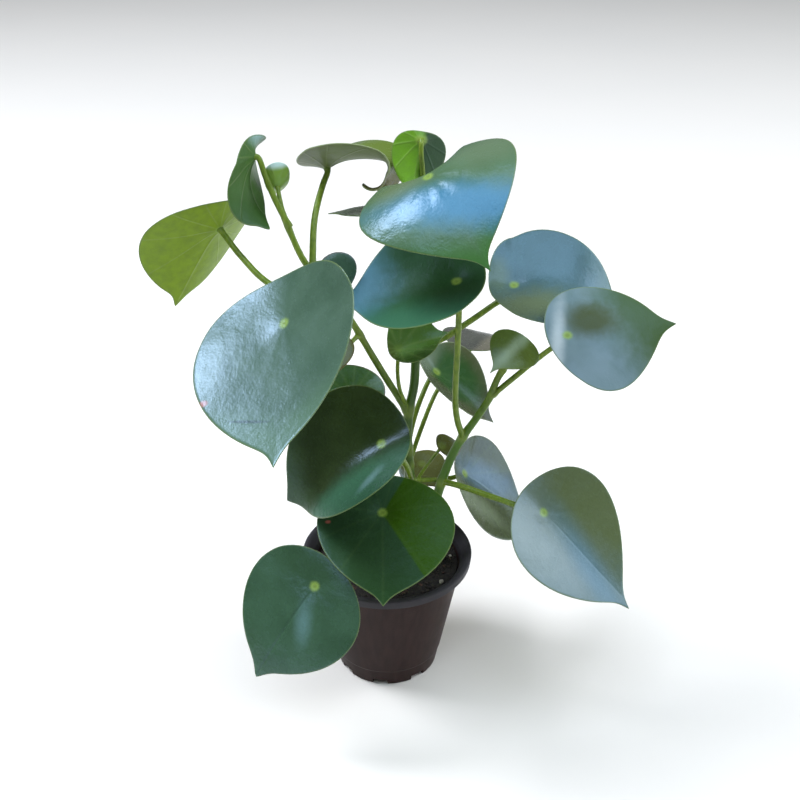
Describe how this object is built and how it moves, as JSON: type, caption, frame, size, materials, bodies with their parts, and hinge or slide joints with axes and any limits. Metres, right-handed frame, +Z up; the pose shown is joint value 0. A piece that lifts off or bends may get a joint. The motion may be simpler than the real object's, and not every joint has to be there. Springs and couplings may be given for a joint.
{
  "type": "potted peperomia",
  "caption": "Peperomia house plant with glossy round leaves on upright stems, rooted in soil in a round plastic nursery pot with a rolled lip and drain notches.",
  "frame": {"origin": "middle of the pot's flat base, on the surface that the pot stands on", "axes": "+Z up along the pot's axis, -Y towards the front of the plant, +X to the right seen from the front"},
  "size_m": [0.3029, 0.2475, 0.369],
  "materials": {
    "pot": "satin",
    "soil": "matte",
    "stem": "satin",
    "deep_leaf": "gloss",
    "blue_leaf": "gloss",
    "young_leaf": "gloss",
    "pale_leaf": "satin"
  },
  "bodies": {
    "root": {"pot": "pot", "soil": "soil", "stem_upright": "stem", "stem_leaning": "stem", "leaf_big_left": "blue_leaf", "leaf_dark_middle": "deep_leaf", "leaf_over_soil": "deep_leaf", "leaf_low_left": "deep_leaf", "leaf_saddle_top": "blue_leaf", "leaf_upper_middle": "deep_leaf", "leaf_upper_right": "blue_leaf", "leaf_cupped_right": "blue_leaf", "leaf_low_right": "blue_leaf", "leaf_folded_low_right": "blue_leaf", "leaf_narrow_middle": "deep_leaf", "leaf_young_middle": "young_leaf", "leaf_level_behind": "blue_leaf", "leaf_young_right": "young_leaf", "leaf_far_left": "pale_leaf", "leaf_upper_left": "deep_leaf", "leaf_bud": "young_leaf", "leaf_arched_top": "pale_leaf", "leaf_youngest_top": "young_leaf", "leaf_hidden_top": "deep_leaf", "leaf_small_behind_left": "deep_leaf", "leaf_small_left": "deep_leaf", "leaf_inner_left": "deep_leaf", "leaf_smallest_inner": "young_leaf", "leaf_inner_low": "deep_leaf"}
  },
  "joints": []
}
